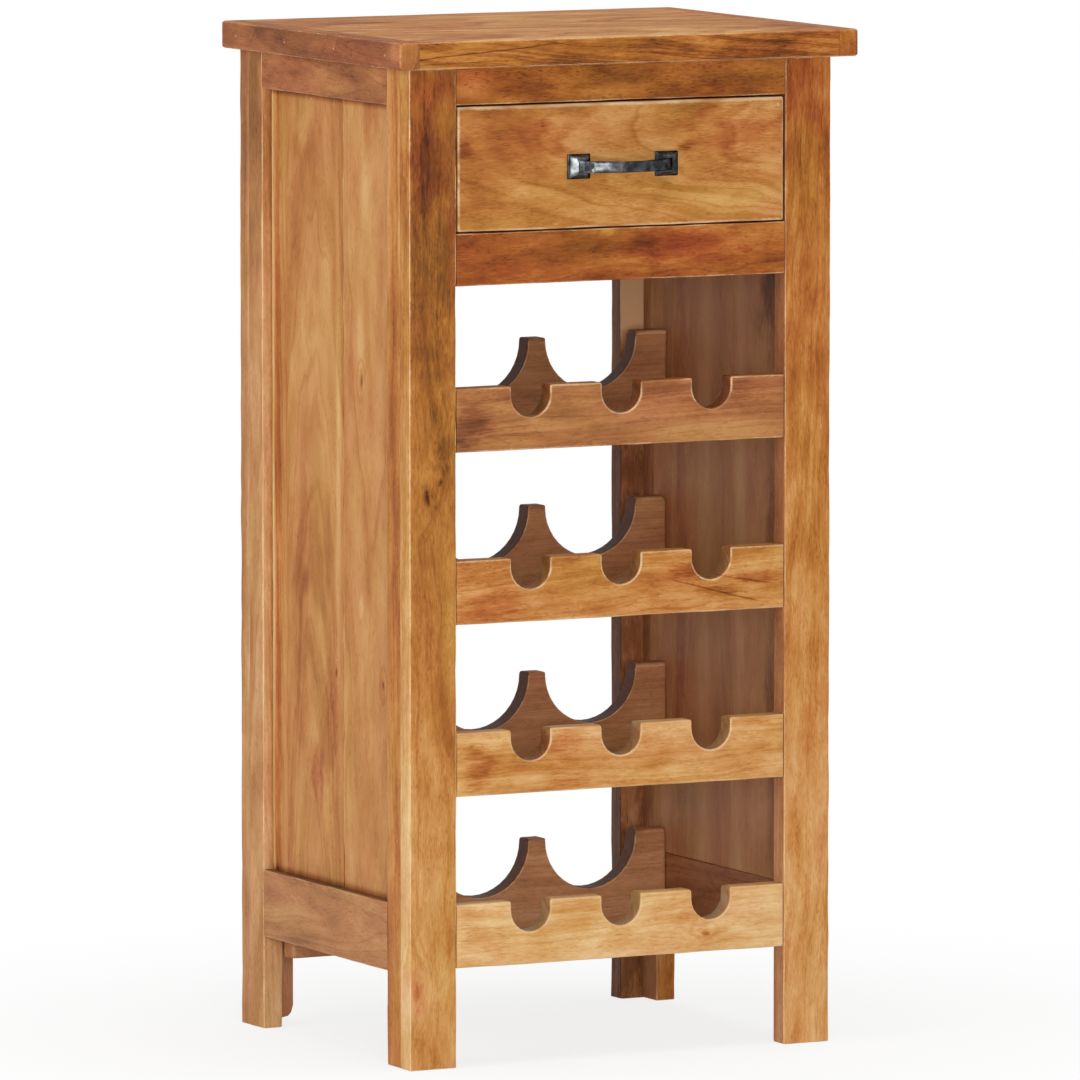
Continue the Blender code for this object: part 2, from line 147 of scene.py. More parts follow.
def standIn(node, name, shape, material, sharp):  # a modelled piece in place of a plain one
    bmesh.ops.recalc_face_normals(shape, faces=shape.faces)
    mesh = bpy.data.meshes.new(name)
    shape.to_mesh(mesh)
    shape.free()
    mesh.materials.append(material)
    mesh.shade_smooth()
    mesh.set_sharp_from_angle(angle=math.radians(sharp))
    piece = bpy.data.objects.new(name, mesh)
    scene.collection.objects.link(piece)
    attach(piece, frame["nodes"][node]["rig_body"])
    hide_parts(node)
    return piece


def resize(shape, factor):
    bmesh.ops.scale(shape, vec=(factor, factor, factor), verts=shape.verts)


# wood: colours run from dark heart to pale sapwood
woodFinish = {
    "amber": [(0.0, (0.070, 0.019, 0.003)), (0.2, (0.205, 0.057, 0.007)), (0.38, (0.350, 0.112, 0.015)),
              (0.54, (0.478, 0.191, 0.036)), (0.70, (0.588, 0.292, 0.088)), (0.85, (0.672, 0.398, 0.162)),
              (1.0, (0.765, 0.525, 0.265))],
    "inner": [(0.0, (0.110, 0.040, 0.015)), (0.3, (0.270, 0.108, 0.042)), (0.6, (0.445, 0.200, 0.085)),
              (1.0, (0.670, 0.395, 0.205))],
    # cream: pale edges, partly real wear and partly painted sheen; putty: filled nail heads
    "cream": (0.745, 0.520, 0.300), "putty": (0.640, 0.450, 0.290), "specular": 0.20,
}

boardLook = {  # what a board has where its own look says nothing; lengths in mm
    "stops": "amber", "tone": 0.5, "red": 0.0, "seed": 0.0,
    "pith": (12.0, 60.0), "lean": 0.03, "ring": 7.0, "sway": 5.0,
    "bands": 0.28, "lines": 0.10, "mottle": 0.28, "fibre": 0.15, "grit": 0.13, "pores": 0.10,
    "fades": (), "stainsAndShading": (), "streaks": (), "knots": (), "dots": (), "notches": (),
    "faces": {},  # face: (tone, red, share of the dull inside finish)
    "sound": "",  # faces that are glued on, so that their edges get neither wear nor painted sheen
    # wear: how much cream wear and painted sheen the edges get
    "wearAndSheen": 0.75, "edge": 1.4, "gloss": 0.44, "press": 0.5, "cut": 0.16,
}

# sizes along, across and through the board in mm (bands and lines: in rings), shift, detail, roughness
woodNoise = {
    "wander": ((230, 90, 90), 3.1, 1, 0.5), "swell": ((75, 22, 22), 9.7, 1, 0.5),
    "knot": ((9, 4, 4), 77.0, 2, 0.5), "curl": ((17, 7, 7), 81.0, 1, 0.5),
    "bands": ((1, 1, 1), 1.3, 2, 0.6), "lines": ((0.62, 1, 1), 5.9, 1, 0.5),
    "mottle": ((46, 19, 19), 12.4, 3, 0.6), "fibre": ((9.5, 1.3, 1.3), 21.8, 2, 0.6),
    "fine": ((3.2, 0.8, 0.8), 33.0, 1, 0.5), "pores": ((4.6, 0.75, 0.75), 41.5, 0, 0.5),
    "poreField": ((24, 9, 9), 47.0, 0, 0.5), "redness": ((120, 40, 40), 55.2, 1, 0.5),
    "patch": ((34, 11, 11), 61.0, 1, 0.5), "warp": ((110, 34, 34), 70.0, 1, 0.5),
}

woodShare = {  # how much each of these counts, and where stains, painted shades, wear and painted sheen begin and end
    "swell": 0.9, "ringAlong": 0.0028, "ringThrough": 0.01, "lineEdge": 15,
    "curlAcross": 3.2, "curlTone": 0.7, "pores": (0.56, 0.70), "poreField": (0.30, 0.60),
    "redness": 0.028,
    "knot": {"long": 0.45, "ragged": 2.6, "reach": 6, "bend": 1.5, "rim": 1.3, "core": 0.2,
             "haloReach": 3.2, "halo": 0.35, "red": 0.015},
    "ragged": {"mottle": 1.4, "fibre": 0.9, "curl": 0.7}, "markEdge": (1.15, 0.25),
    "nearFace": (0.9, 0.5), "noEdge": 99,  # mm
    "streak": {"wave": 5, "end": 0.6, "fibre": 0.8, "plain": 0.6},
    "notchShade": {"taper": 0.25, "edge": (0.7, 0.3), "dark": (2.4, 2.6, 2.6), "inward": (0.3, 1.2)},
    "patch": (0.36, 0.60), "patchWornAndSheen": 0.75, "wornAndSheenEdge": 0.25,
    "dotEdge": 0.7, "dotFill": 0.6, "dotSunk": 3,
    "rough": {"fibre": 0.12, "pores": 0.18, "mottle": 0.16, "wornAndSheen": 0.14},
    "height": {"warp": 0.55, "fibre": 0.10, "sunk": 0.07, "lines": 0.02}, "bump": 0.8,
}


def woodMaterial(name, low, high, grain, look):
    material, start = blankMaterial("wood_" + name)
    centre, half = (low + high) * (mmPerMetre / 2), (high - low) * (mmPerMetre / 2)
    along = "xyz".index(grain)
    order = [along, *sorted({0, 1, 2} - {along}, key=lambda axis: -half[axis])]
    letters = ["xyz"[axis] for axis in order]
    middle, ends = [centre[axis] for axis in order], [half[axis] for axis in order]

    place = start.node("ShaderNodeTexCoord", output=3)
    place = start.node("ShaderNodeVectorMath", {"operation": "MULTIPLY_ADD"},
                       {0: place, 1: (mmPerMetre,) * 3, 2: tuple(-centre)})
    axes = start.node("ShaderNodeSeparateXYZ", values={0: place}, output=(0, 1, 2))
    length, width, depth = (axes[axis] for axis in order)
    board = length.join(width, depth)

    def grainNoise(kind, spot=board):
        sizes, shift, detail, roughness = woodNoise[kind]
        return spot.noise(sizes, look["seed"] + shift, detail, roughness)

    # growth rings: round the pith, which leans through the board and wanders
    bent = width + (grainNoise("wander") - 0.5) * (2 * look["sway"])
    pithWidth, pithDepth = look["pith"]
    ring = (bent - pithWidth).across(depth - pithDepth + length * look["lean"])
    ring = ring + (grainNoise("swell") - 0.5) * (look["ring"] * woodShare["swell"])
    knot, knotDark = woodShare["knot"], None
    for knotAlong, knotAcross, size, deep in look["knots"]:
        beside = (length - (knotAlong - middle[0])) * knot["long"]
        distance = beside.across(bent - (knotAcross - middle[1]))
        distance = distance + (grainNoise("knot") - 0.5) * (size * knot["ragged"])
        ring = ring + distance.rise(size * knot["reach"], 0) * (look["ring"] * knot["bend"])
        dark = (distance.rise(size * knot["rim"], size * knot["core"]) * deep
                + distance.rise(size * knot["haloReach"], 0) * (deep * knot["halo"]))
        knotDark = dark if knotDark is None else knotDark.most(dark)
    curl = grainNoise("curl") - 0.5
    flow = length.join(bent + curl * woodShare["curlAcross"], depth + curl)
    rings = (ring / look["ring"]).join(length * woodShare["ringAlong"], depth * woodShare["ringThrough"])
    bands = grainNoise("bands", rings)
    lines = (1 - abs(grainNoise("lines", rings) - 0.5) * woodShare["lineEdge"]).most(0)

    # what lies over the rings: blotches, fibres and pores
    mottle = grainNoise("mottle")
    fibre = grainNoise("fibre", flow)
    fine = grainNoise("fine", flow)
    pores = grainNoise("pores", flow).rise(*woodShare["pores"])
    pores = pores * grainNoise("poreField").rise(*woodShare["poreField"])
    tone = (bands - 0.5) * (2 * look["bands"]) - lines * look["lines"] + look["tone"]
    tone = tone + (mottle - 0.5) * (2 * look["mottle"]) + (fibre - 0.5) * (2 * look["fibre"])
    tone = tone + ((fine - 0.5) + curl * woodShare["curlTone"]) * look["grit"] - pores * look["pores"]
    redness = (grainNoise("redness") - 0.5) * woodShare["redness"] + (0.5 - look["red"])
    for begin, end, amount in look["fades"]:
        tone = tone + length.rise(begin - middle[0], end - middle[0]) * amount

    # stains, painted shade and painted light, and streaks share the same ragged outline; a stain or a
    # painted patch may keep to one face
    share = woodShare["ragged"]
    ragged = (mottle - 0.5) * share["mottle"] + (fibre - 0.5) * share["fibre"] + curl * share["curl"]
    near = {}
    for letter, axis, limit in zip(letters, (length, width, depth), ends):
        near["-" + letter] = (axis + limit).rise(*woodShare["nearFace"])
        near["+" + letter] = (limit - axis).rise(*woodShare["nearFace"])
    for markAlong, markAcross, longRadius, wideRadius, amount, red, *face in look["stainsAndShading"]:
        distance = ((length - (markAlong - middle[0])) / longRadius).across(
            (bent - (markAcross - middle[1])) / wideRadius)
        spot = (distance + ragged).rise(*woodShare["markEdge"])
        if face:
            spot = spot * near[face[0]]
        tone = tone + spot * amount
        if red:
            redness = redness - spot * red
    streak = woodShare["streak"]
    for letter, streakAlong, streakAcross, slope, reach, thick, amount in look["streaks"]:
        side = letters.index(letter)
        beside = length - (streakAlong - middle[0])
        off = abs((length, bent, depth)[side] - (streakAcross - middle[side]) - beside * slope
                  + (mottle - 0.5) * (thick * streak["wave"]))
        line = off.rise(thick, 0) * abs(beside).rise(reach, reach * streak["end"])
        tone = tone + line * (fibre * streak["fibre"] + streak["plain"]) * amount
    if knotDark:
        tone, redness = tone - knotDark, redness - knotDark * knot["red"]
    dull = None
    for face, (amount, red, inside) in look["faces"].items():
        tone, redness = tone + near[face] * amount, redness - near[face] * red
        if inside:
            dull = near[face] * inside if dull is None else dull.most(near[face] * inside)
    colour = start.node("ShaderNodeValToRGB", {"stops": woodFinish[look["stops"]]}, {"Fac": tone})
    if dull:
        inner = start.node("ShaderNodeValToRGB", {"stops": woodFinish["inner"]}, {"Fac": tone})
        colour = colour.blend("MIX", inner, dull)
    colour = start.node("ShaderNodeHueSaturation", values={"Hue": redness, "Color": colour})

    # worn edges: cream along the edges, partly real wear and partly a painted highlight on the rounded
    # arrises; of the distances to the three pairs of faces, the middle one is that to the nearest edge
    gaps = []
    for letter, axis, limit in zip(letters, (length, width, depth), ends):
        sides = [side for sign, side in (("-", axis + limit), ("+", limit - axis))
                 if sign + letter not in look["sound"]]
        if len(sides) == 2:
            gaps.append(sides[0].least(sides[1]))
        else:
            gaps.append(sides[0] if sides else axis * 0 + woodShare["noEdge"])
    toEnd, toSide, toFace = gaps
    edge = toSide.least(toFace).most(toSide.most(toFace).least(toEnd))
    # painted shade inside the notches and seats: their cut faces are darkened, except along the front and
    # back edges
    notchShade = woodShare["notchShade"]
    for holeAlong, holeAcross, radius in look["notches"]:
        under = (width - (holeAcross - middle[1])).least(0)
        rim = abs((length - (holeAlong - middle[0])).across(under) - radius)
        edge = edge.least(rim.most(toFace))
        cut = (rim - toFace * notchShade["taper"]).rise(*notchShade["edge"]) * toFace.rise(*notchShade["inward"])
        colour = colour.blend("MULTIPLY", (*(1 - look["cut"] * one for one in notchShade["dark"]), 1), cut)
    patch = grainNoise("patch").rise(*woodShare["patch"])
    wornAndSheen = (edge + (fine - 0.5) * look["edge"]).rise(look["edge"], look["edge"] * woodShare["wornAndSheenEdge"])
    wornAndSheen = wornAndSheen * (patch * woodShare["patchWornAndSheen"] + (1 - woodShare["patchWornAndSheen"])) * look["wearAndSheen"]
    colour = colour.blend("MIX", (*woodFinish["cream"], 1), wornAndSheen)
    sunk = pores
    for dotAlong, dotAcross, size in look["dots"]:  # heads of nails under putty
        dot = (length - (dotAlong - middle[0])).across(width - (dotAcross - middle[1]))
        dot = dot.rise(size, size * woodShare["dotEdge"])
        colour = colour.blend("MIX", (*woodFinish["putty"], 1), dot * woodShare["dotFill"])
        sunk = sunk + dot * woodShare["dotSunk"]

    share = woodShare["rough"]
    rough = ((fibre - 0.5) * share["fibre"] + pores * share["pores"] + (mottle - 0.5) * share["mottle"]
             + wornAndSheen * share["wornAndSheen"] + look["gloss"])
    share = woodShare["height"]
    height = ((grainNoise("warp") - 0.5) * share["warp"] + (fibre - 0.5) * share["fibre"]
              - sunk * share["sunk"] - lines * share["lines"])
    bump = start.node("ShaderNodeBump", values={
        "Strength": woodShare["bump"], "Distance": 1 / mmPerMetre, "Height": height})
    shader = start.node("ShaderNodeBsdfPrincipled", values={
        "Base Color": colour, "Roughness": rough, "Normal": bump,
        "Specular IOR Level": woodFinish["specular"]})
    start.node("ShaderNodeOutputMaterial", values={"Surface": shader})
    return material


handWork = {  # lengths in mm
    "every": 14.0, "strip": 3.0, "stripShare": 0.3, "touch": 0.01, "close": 0.11, "shift": 5,
    "same": 1e-6, "flat": 1, "sharp": 50,  # metres, degrees, degrees
    "press": {"level": 0.55, "long": 30, "short": 9, "shortShare": 0.5},
    "wave": {"deep": 0.16, "long": 38},
}


def workBoard(name, low, high, grain, look, material):  # the plain board, its edges worn round
    shape = bmesh.new()
    shape.from_mesh(frame["nodes"][name].data)
    bmesh.ops.remove_doubles(shape, verts=shape.verts, dist=handWork["same"])
    bmesh.ops.dissolve_limit(shape, angle_limit=math.radians(handWork["flat"]), verts=shape.verts,
                             edges=shape.edges)
    resize(shape, mmPerMetre)
    low, high = low * mmPerMetre, high * mmPerMetre
    strip = min(handWork["strip"], min(high - low) * handWork["stripShare"])
    along = "xyz".index(grain)
    for axis in range(3):
        cuts = [low[axis] + strip, high[axis] - strip]
        if axis == along:
            count = int((high[axis] - low[axis]) / handWork["every"])
            cuts += [low[axis] + (high[axis] - low[axis]) * step / count for step in range(1, count)]
        normal = Vector([float(axis == one) for one in range(3)])
        for cut in cuts:
            bmesh.ops.bisect_plane(shape, geom=[*shape.verts, *shape.edges, *shape.faces],
                                   dist=handWork["touch"], plane_co=normal * cut, plane_no=normal)
    pressing, waving = handWork["press"], handWork["wave"]
    shift = Vector((look["seed"], look["seed"] * 2, handWork["shift"]))
    for vertex in shape.verts:
        place = vertex.co.copy()
        reach, inward, closed = [], [], []
        for axis in range(3):
            sign = 1 if place[axis] - low[axis] < high[axis] - place[axis] else -1
            gap = min(place[axis] - low[axis], high[axis] - place[axis])
            sound = ("-+"[sign < 0] + "xyz"[axis]) in look["sound"]
            reach.append(0.0 if sound else max(0.0, 1 - gap / strip))
            closed.append(sound and gap < handWork["touch"])
            inward.append(sign)
        uneven = (pressing["level"] + noise.noise(place / pressing["long"] + shift)
                  + pressing["shortShare"] * noise.noise(place / pressing["short"]))
        press = look["press"] * max(0.0, uneven)
        wave = waving["deep"] * (0.5 + 0.5 * noise.noise(place / waving["long"] + shift))
        for axis in range(3):
            others = max(reach[one] for one in range(3) if one != axis)
            if reach[axis]:
                vertex.co[axis] += inward[axis] * (press * others + wave * (reach[axis] == 1))
            elif closed[axis]:  # glued faces meet
                vertex.co[axis] -= inward[axis] * handWork["close"]
        if "ease" in look:
            look["ease"](vertex.co, low, high)
    resize(shape, 1 / mmPerMetre)
    piece = standIn(name, "worked_" + name, shape, material, handWork["sharp"])
    even = piece.modifiers.new("even shading", "WEIGHTED_NORMAL")
    even.keep_sharp = True


seedSteps = {"piece": 7.31, "letter": 3.17}  # every board gets a figure of its own


def finishBoards(looks, grain, shared=None):
    for number, (name, look) in enumerate(looks.items()):
        low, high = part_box(name)
        seed = seedSteps["piece"] * number + seedSteps["letter"] * len(name)
        look = {**boardLook, "seed": seed, **(shared or {}), **look}
        material = woodMaterial(name, low, high, grain, look)
        frame["nodes"][name].material_slots[0].material = material
        workBoard(name, low, high, grain, look, material)


# legs: two boards each, grain upright; stains, painted shade and light, and knots are at (height, across)
# of the cabinet in mm
chip = {"wide": 9.0, "high": 11.0, "lift": 8.0, "inward": 2.5, "ragged": 0.5, "grain": 4}


def chipFoot(place, low, high):  # the splintered inner corner of the left back foot
    share = max(0.0, 1 - (high.x - place.x) / chip["wide"])
    share *= max(0.0, 1 - (place.z - low.z) / chip["high"])
    share *= 1 + chip["ragged"] * noise.noise(place / chip["grain"])
    place.z += chip["lift"] * share
    place.x -= chip["inward"] * share


legs = {
    "leg_front_left_face": {
        "tone": 0.46, "red": -0.003, "pith": (30, 46), "ring": 9, "lean": 0.02, "sound": "+y",
        # darker towards the top and lighter low down: partly the wood, partly painted shade under the top
        # and painted light from the pale floor
        "mottle": 0.3, "wearAndSheen": 0.9, "bands": 0.13, "fades": ((480, 640, -0.12), (380, 180, 0.2)),
        "faces": {"-x": (0.22, -0.002, 0), "+y": (0, 0, 1), "-y": (0, 0, 0.08)},
        "stainsAndShading": ((760, -166, 16, 26, -0.02, 0.012), (705, -155, 46, 40, -0.07, 0.008),
                   (752, -150, 14, 8, 0.04, 0.004), (640, -160, 90, 40, -0.06, 0.0),
                   (640, -146, 60, 5, 0.04, 0.012), (540, -153, 70, 12, -0.14, 0.0),
                   (60, -178, 26, 14, 0.08, 0.014), (330, -150, 50, 10, 0.1, -0.004)),
        "knots": ((446, -168, 3.0, 0.4), (458, -157, 1.8, 0.3), (60, -178, 3.6, 0.16))},
    "leg_front_left_side": {
        "tone": 0.52, "red": 0.004, "pith": (-40, 20), "ring": 9, "sway": 3, "fibre": 0.1, "sound": "-y",
        "faces": {"+x": (0, 0, 1)}, "fades": ((560, 700, 0.12),)},
    "leg_front_right_face": {
        # darker towards the top and lighter low down: partly the wood, partly painted shade under the top
        # and painted light from the pale floor
        "tone": 0.57, "pith": (-34, 50), "ring": 8, "fades": ((450, 700, -0.17), (330, 140, 0.2)),
        "red": 0.003, "sound": "+y", "faces": {"+y": (0, 0, 1), "-x": (-0.08, 0.0, 0.6)}, "bands": 0.2,
        "stainsAndShading": ((748, 165, 34, 40, -0.01, 0.011), (704, 150, 26, 9, -0.12, 0.004),
                   (692, 180, 26, 8, -0.12, 0.004), (600, 165, 60, 30, 0.0, 0.004))},
    "leg_front_right_side": {
        "tone": 0.5, "pith": (40, 30), "sound": "-y", "faces": {"-x": (-0.18, 0, 1)}},
    "leg_back_left_face": {
        "tone": 0.66, "pith": (20, -50), "sound": "-y", "fades": ((560, 720, -0.22),),
        "faces": {"-y": (0, 0, 1), "-x": (0, 0, 0.6)}, "fibre": 0.12, "ease": chipFoot},
    "leg_back_left_side": {
        "tone": 0.68, "pith": (8, 44), "ring": 9, "fades": ((560, 720, -0.22),), "sound": "+y",
        "red": -0.003, "faces": {"+x": (0, 0, 1), "-x": (0, 0, 0.6), "-y": (0.12, 0.002, 0.7)},
        "fibre": 0.12, "wearAndSheen": 0.95,
        "stainsAndShading": ((740, 134, 50, 16, -0.12, -0.004), (634, 134, 34, 14, -0.02, -0.008))},
    "leg_back_right_face": {
        "tone": 0.54, "pith": (-12, -60), "sound": "-y",
        # painted light and shade on the front face: a pool of light in the top tier (572), painted shade
        # under the rails (425, 290) and at the foot (50); the left edge face is darkened as painted shade
        "stainsAndShading": ((572, 156, 46, 60, 0.85, 0.0, "-y"), (425, 156, 30, 60, -0.3, 0.0, "-y"),
                   (290, 156, 30, 60, -0.22, 0.0, "-y"), (50, 156, 120, 60, -0.44, 0.0, "-y")),
        "faces": {"-y": (0.12, 0, 0.8), "-x": (-0.42, 0, 1)}},
    "leg_back_right_side": {"tone": 0.5, "pith": (14, 50), "sound": "+y", "faces": {"-x": (0, 0, 1)}},
}
finishBoards(legs, "z")
print("legs finished")

# top: three planks with a batten across each end
topPlanks = {
    "top_plank_front": {
        "tone": 0.54, "pith": (-6, -150), "lean": 0.1, "ring": 8, "wearAndSheen": 0.6, "sound": "-x +x +y",
        "faces": {"-y": (-0.13, 0, 0), "+z": (0.02, 0, 0)}, "fibre": 0.2, "mottle": 0.34,
        "stainsAndShading": ((150, -110, 60, 50, -0.12, 0.0), (130, -155, 80, 60, -0.1, 0.0, "-y"),
                   (-120, -100, 80, 40, -0.03, 0.004, "+z"), (-50, -150, 170, 17, 0.15, -0.002, "+z"),
                   (-150, -155, 60, 60, 0.09, -0.006, "-y"), (162, 783, 18, 6, 0.25, -0.006)),
        "streaks": (("z", -197, 785, 0.081, 170, 0.8, -0.34), ("z", -150, 783, 0.02, 60, 0.8, -0.2))},
    "top_plank_middle": {
        "tone": 0.585, "pith": (20, -120), "lean": -0.05, "ring": 7, "sound": "-x +x -y +y",
        "stainsAndShading": ((-120, 4, 80, 60, -0.07, 0.005, "+z"), (160, 20, 50, 40, -0.08, 0.0, "+z"))},
    "top_plank_back": {
        "tone": 0.585, "pith": (-30, -90), "ring": 6, "sound": "-x +x -y",
        "stainsAndShading": ((-120, 110, 80, 60, -0.08, 0.005, "+z"),)},
}
finishBoards(topPlanks, "x", {"gloss": 0.52, "press": 0.25, "bands": 0.36, "lines": 0.18, "edge": 1.8,
                              "wearAndSheen": 0.8})
nails = {"places": (-129.8, -39.4, 48.8, 137), "height": 789, "radius": 1.2}
nailDots = [(spot, nails["height"], nails["radius"]) for spot in nails["places"]]
endBattens = {
    "top_end_batten_left": {
        "tone": 0.42, "red": 0.008, "pith": (4, -30), "ring": 5, "dots": nailDots, "sound": "+x",
        "faces": {"-y": (0.06, -0.01, 0.35), "-x": (-0.11, 0, 0.6), "+z": (-0.04, 0, 0)},
        "stainsAndShading": ((127, 790, 12, 12, 0.12, 0.0), (-147, 790, 14, 12, 0.22, 0.0, "-x"))},
    "top_end_batten_right": {
        "tone": 0.44, "red": 0.006, "pith": (-5, -32), "ring": 5, "dots": nailDots, "sound": "-x",
        "faces": {"-y": (0.0, -0.003, 0)}},
}
finishBoards(endBattens, "y", {"gloss": 0.50, "press": 0.25})
print("top finished")

# side frames
sideRails = {
    "side_top_rail_left": {
        "tone": 0.41, "red": 0.007, "pith": (-2, 40), "ring": 5, "wearAndSheen": 0.3, "mottle": 0.36,
        "faces": {"-x": (0.03, 0, 0.55)}},
    "side_top_rail_right": {"tone": 0.5, "red": 0.006, "pith": (6, -40), "ring": 5},
    "side_bottom_rail_left": {
        "tone": 0.52, "red": 0.0, "pith": (4, 40), "ring": 5, "wearAndSheen": 0.5,
        # painted shade: the top face darkened where the rail meets the recessed planks
        "faces": {"-x": (0.04, 0, 0.75), "+x": (0, 0, 1), "+z": (-0.34, 0, 1)},
        "stainsAndShading": ((70, 96, 80, 12, 0.12, -0.004), (-60, 84, 60, 9, 0.08, 0.0))},
    "side_bottom_rail_right": {
        "tone": 0.54, "red": 0.004, "pith": (-14, -46), "ring": 6,
        # painted shade: the top face darkened where the rail meets the planks
        "faces": {"-x": (-0.1, 0, 0.9), "+z": (-0.14, 0, 0.9)}},
}
finishBoards(sideRails, "y")
sidePlanks = {
    "side_plank_left_front": {
        "tone": 0.63, "red": 0.001, "pith": (0, 46), "lean": 0.045, "ring": 16, "sway": 6, "sound": "-y",
        "bands": 0.2, "knots": ((530, -38, 1.8, 0.22), (294, -73, 1.6, 0.3)),
        "stainsAndShading": ((745, -51, 26, 26, -0.05, 0.008), (676, -46, 34, 10, 0.11, -0.004),
                   (560, -36, 44, 9, 0.15, -0.004), (352, -35, 12, 5, 0.16, 0.0),
                   (440, -70, 110, 16, 0.03, 0.004))},
    "side_plank_left_middle": {
        "tone": 0.62, "red": 0.001, "pith": (2, 50), "lean": -0.11, "ring": 13, "sway": 7,
        "sound": "-y +y", "bands": 0.34, "dots": ((748, 92, 1.0), (744, 52, 1.0)),
        "knots": ((296, 8, 1.5, 0.26),),
        "stainsAndShading": ((640, 62, 110, 34, -0.06, 0.002), (352, 70, 110, 20, -0.08, 0.0),
                   (236, 26, 50, 20, -0.13, 0.005), (216, 44, 22, 16, -0.1, 0.008),
                   (262, 12, 40, 8, -0.1, 0.004), (620, 26, 120, 14, 0.07, -0.002),
                   (460, 30, 60, 10, 0.08, 0.0), (450, 62, 60, 22, 0.05, -0.003),
                   (480, 4, 230, 6, 0.18, -0.003))},
    "side_plank_left_back": {
        "tone": 0.6, "red": 0.002, "pith": (-26, 30), "ring": 6, "sway": 3, "sound": "-y +y",
        "stainsAndShading": ((430, 122, 900, 3.5, 0.34, -0.004), (430, 113, 900, 6, -0.13, 0.01),
                   (430, 101, 900, 4, 0.08, 0.0))},
    "side_plank_right_front": {
        "tone": 0.56, "pith": (6, -56), "lean": -0.07,
        # painted shadow of the front leg on the inside face: a long dark band and darker patches in each
        # tier; the lighter band further back and the reddish patch are the wood's colour
        "stainsAndShading": ((430, -76, 900, 12, -0.1, 0.0, "-x"), (430, -20, 900, 12, 0.1, 0.0, "-x"),
                   (585, -69, 46, 18, -0.36, 0.0, "-x"), (512, -66, 24, 18, 0.08, 0.012, "-x"),
                   (398, -73, 50, 12, -0.26, 0.0, "-x"), (258, -73, 50, 12, -0.16, 0.0, "-x"))},
    "side_plank_right_middle": {
        "tone": 0.52, "pith": (-8, -48), "lean": 0.09,
        "stainsAndShading": ((430, 40, 900, 16, 0.12, 0.0), (430, 80, 900, 12, -0.1, 0.006))},
    "side_plank_right_back": {"tone": 0.54, "pith": (22, -30), "red": 0.006},
}
plankShare = {
    "left": {
        "faces": {"+x": (-0.04, 0, 1), "-x": (0.01, 0, 0.25)},
        # painted shade: dark lines just under the top rail and just above the bottom rail, where the
        # planks sit recessed
        "fades": ((741.5, 748, -0.4), (134, 128, -0.3)),
        "lines": 0.1},
    "right": {
        "faces": {"-x": (0.06, 0, 0.9)}, "sound": "-y +y", "bands": 0.16, "ring": 14, "lines": 0.05,
        # painted shade: the inside wall lighter low down and darker towards the upper tiers
        "fades": ((200, 130, 0.03), (460, 590, -0.06)),
        "mottle": 0.22},
}
for name, look in sidePlanks.items():
    shared = plankShare["left" if "left" in name else "right"]
    look.update({"mottle": 0.18, "fibre": 0.09, "grit": 0.06, "pores": 0.06, **shared})
finishBoards(sidePlanks, "z")
print("sides finished")

# front: rails with round notches for the bottle necks
notch = {"places": (-79, 0, 79), "radius": 17.0, "under": 7.5}
frontRails = {
    "front_top_rail": {
        "tone": 0.41, "pith": (6, 60), "lean": 0.03, "ring": 6, "mottle": 0.34, "pores": 0.16,
        "stainsAndShading": ((-128, 766, 22, 16, 0.2, 0.01), (-80, 760, 30, 10, -0.08, 0.0),
                   (90, 764, 70, 9, -0.06, -0.002))},
    "drawer_rail": {
        "tone": 0.35, "red": 0.009, "pith": (14, 70), "lean": -0.02, "ring": 8, "fibre": 0.12,
        "mottle": 0.34, "stainsAndShading": ((-11, 646, 10, 5, 0.25, -0.006), (60, 632, 70, 16, -0.06, 0.008))},
}
neckRails = {
    "neck_rail_1": {
        "tone": 0.46, "red": 0.002, "pith": (-70, 40), "ring": 8, "dull": 0.6,
        "stainsAndShading": ((-132, 505, 22, 26, -0.16, 0.008), (90, 486, 90, 12, 0.2, -0.006),
                   (30, 505, 40, 14, 0.04, 0.006))},
    "neck_rail_2": {
        "tone": 0.6, "red": 0.003, "pith": (-50, 50), "lean": 0.05, "ring": 8,
        "stainsAndShading": ((66, 378, 22, 8, -0.24, 0.004), (88, 362, 26, 5, -0.22, 0.0),
                   (118, 372, 26, 6, -0.12, 0.006), (-110, 362, 30, 18, -0.08, 0.006)),
        "streaks": (("z", 84, 362, -0.22, 46, 1.0, -0.3), ("z", 96, 372, -0.16, 40, 0.9, -0.25))},
    "neck_rail_3": {
        "tone": 0.72, "pith": (-62, 44), "lean": 0.04, "ring": 9,
        "stainsAndShading": ((-124, 232, 16, 22, -0.18, 0.006), (-60, 250, 40, 10, -0.06, 0.008))},
    "neck_rail_4": {
        "tone": 0.88, "pith": (-58, 52), "lean": 0.03, "ring": 10, "bands": 0.2,
        "knots": ((74, 92.5, 2.0, 0.3),),
        "stainsAndShading": ((-120, 100, 30, 14, -0.08, 0.004),)},
}
for name in neckRails:
    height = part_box(name)[1].z * mmPerMetre - notch["under"]
    neckRails[name]["notches"] = [(spot, height, notch["radius"]) for spot in notch["places"]]
    neckRails[name]["faces"] = {"+y": (0, 0, 1), "-y": (0, 0, neckRails[name].pop("dull", 0.05))}
finishBoards(frontRails, "x", {"faces": {"+y": (0, 0, 1)}})
finishBoards(neckRails, "x", {"fibre": 0.13, "mottle": 0.34, "edge": 1.8, "wearAndSheen": 0.85})
print("front rails finished")

# drawer: the front is a show board, the box behind it is raw
frontLift = {"within": 1, "rise": 1.1}


def liftFront(place, low, high):  # the drawer front nearly fills its opening
    if high.z - place.z < frontLift["within"]:
        place.z += frontLift["rise"]


